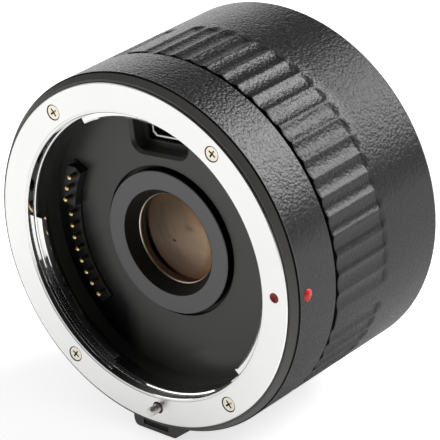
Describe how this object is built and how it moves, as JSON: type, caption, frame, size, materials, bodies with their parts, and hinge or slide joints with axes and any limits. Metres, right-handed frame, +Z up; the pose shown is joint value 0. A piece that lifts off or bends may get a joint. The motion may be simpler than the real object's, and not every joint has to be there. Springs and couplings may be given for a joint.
{
  "type": "camera teleconverter",
  "caption": "Short fluted tube with a lens group, a bayonet mount at each end, sprung contact pins and a sliding lens release.",
  "frame": {"origin": "centre of the rear flange on the optical axis", "axes": "+Y along the optical axis toward the camera, so the front faces -Y; +Z up, opposite the release tab"},
  "size_m": [0.0684, 0.0512, 0.0702],
  "materials": {
    "barrel_paint": "black wrinkle paint on light alloy",
    "mount_chrome": "satin chrome",
    "screw_nickel": "nickel plate",
    "pin_steel": "polished",
    "spring_steel": "bright spring steel",
    "socket_steel": "tinned steel",
    "baffle_plastic": "dark grey, matte",
    "black_plastic": "black, matte",
    "chip_black": "moulded black",
    "cell_black": "black anodised",
    "alloy": "plain cast alloy",
    "lens_glass": "coated, amber reflection",
    "board_green": "solder mask",
    "ribbon_amber": "polyimide film",
    "contact_gold": "gold plate",
    "red_paint": "dark red paint",
    "red_plastic": "glossy red"
  },
  "bodies": {
    "housing": {"front_barrel": "barrel_paint", "main_barrel": "barrel_paint", "chassis": "alloy", "chassis_screws": "screw_nickel", "front_mount_ring": "mount_chrome", "front_mount_screws": "screw_nickel", "bayonet_springs": "spring_steel", "front_baffle": "baffle_plastic", "well_wall": "baffle_plastic", "index_dot": "red_paint", "index_bead": "red_plastic", "lens_barrel": "cell_black", "lens_barrel_screws": "screw_nickel", "lens_front": "lens_glass", "spacer_front": "cell_black", "lens_second": "lens_glass", "spacer_middle": "cell_black", "lens_third": "lens_glass", "lens_fourth": "lens_glass", "spacer_rear": "cell_black", "lens_rear": "lens_glass", "rear_retainer": "cell_black", "main_board": "board_green", "board_screws": "screw_nickel", "board_chips": "chip_black", "front_contact_block": "black_plastic", "contact_springs": "spring_steel", "socket_shell": "socket_steel", "socket_tongue": "black_plastic", "ribbon_cable": "ribbon_amber", "rear_mount": "mount_chrome", "mount_shim": "spring_steel", "rear_mount_screws": "screw_nickel", "rear_baffle": "baffle_plastic", "rear_contact_block": "black_plastic", "rear_contact_pads": "contact_gold", "rear_contact_screws": "screw_nickel", "rear_index_dot": "red_paint", "release_spring": "spring_steel"},
    "release": {"release_slider": "black_plastic", "lock_pin": "pin_steel"},
    "pin_1": {"contact_pin_1": "contact_gold"},
    "pin_2": {"contact_pin_2": "contact_gold"},
    "pin_3": {"contact_pin_3": "contact_gold"},
    "pin_4": {"contact_pin_4": "contact_gold"},
    "pin_5": {"contact_pin_5": "contact_gold"},
    "pin_6": {"contact_pin_6": "contact_gold"},
    "pin_7": {"contact_pin_7": "contact_gold"},
    "pin_8": {"contact_pin_8": "contact_gold"},
    "pin_9": {"contact_pin_9": "contact_gold"},
    "pin_10": {"contact_pin_10": "contact_gold"},
    "pin_11": {"contact_pin_11": "contact_gold"}
  },
  "joints": [
    {"name": "release_slide", "type": "slide", "parent": "housing", "child": "release", "axis": [0, 1, 0], "range_m": [0, 0.0026], "stiffness_N_per_m": 300, "springref_m": -0.003, "deforming": ["release_spring"]},
    {"name": "pin_1_slide", "type": "slide", "parent": "housing", "child": "pin_1", "axis": [0, 1, 0], "range_m": [0, 0.0012], "stiffness_N_per_m": 200, "springref_m": -0.0015, "deforming": ["contact_springs"]},
    {"name": "pin_2_slide", "type": "slide", "parent": "housing", "child": "pin_2", "axis": [0, 1, 0], "range_m": [0, 0.0012], "stiffness_N_per_m": 200, "springref_m": -0.0015, "deforming": ["contact_springs"]},
    {"name": "pin_3_slide", "type": "slide", "parent": "housing", "child": "pin_3", "axis": [0, 1, 0], "range_m": [0, 0.0012], "stiffness_N_per_m": 200, "springref_m": -0.0015, "deforming": ["contact_springs"]},
    {"name": "pin_4_slide", "type": "slide", "parent": "housing", "child": "pin_4", "axis": [0, 1, 0], "range_m": [0, 0.0012], "stiffness_N_per_m": 200, "springref_m": -0.0015, "deforming": ["contact_springs"]},
    {"name": "pin_5_slide", "type": "slide", "parent": "housing", "child": "pin_5", "axis": [0, 1, 0], "range_m": [0, 0.0012], "stiffness_N_per_m": 200, "springref_m": -0.0015, "deforming": ["contact_springs"]},
    {"name": "pin_6_slide", "type": "slide", "parent": "housing", "child": "pin_6", "axis": [0, 1, 0], "range_m": [0, 0.0012], "stiffness_N_per_m": 200, "springref_m": -0.0015, "deforming": ["contact_springs"]},
    {"name": "pin_7_slide", "type": "slide", "parent": "housing", "child": "pin_7", "axis": [0, 1, 0], "range_m": [0, 0.0012], "stiffness_N_per_m": 200, "springref_m": -0.0015, "deforming": ["contact_springs"]},
    {"name": "pin_8_slide", "type": "slide", "parent": "housing", "child": "pin_8", "axis": [0, 1, 0], "range_m": [0, 0.0012], "stiffness_N_per_m": 200, "springref_m": -0.0015, "deforming": ["contact_springs"]},
    {"name": "pin_9_slide", "type": "slide", "parent": "housing", "child": "pin_9", "axis": [0, 1, 0], "range_m": [0, 0.0012], "stiffness_N_per_m": 200, "springref_m": -0.0015, "deforming": ["contact_springs"]},
    {"name": "pin_10_slide", "type": "slide", "parent": "housing", "child": "pin_10", "axis": [0, 1, 0], "range_m": [0, 0.0012], "stiffness_N_per_m": 200, "springref_m": -0.0015, "deforming": ["contact_springs"]},
    {"name": "pin_11_slide", "type": "slide", "parent": "housing", "child": "pin_11", "axis": [0, 1, 0], "range_m": [0, 0.0012], "stiffness_N_per_m": 200, "springref_m": -0.0015, "deforming": ["contact_springs"]}
  ]
}
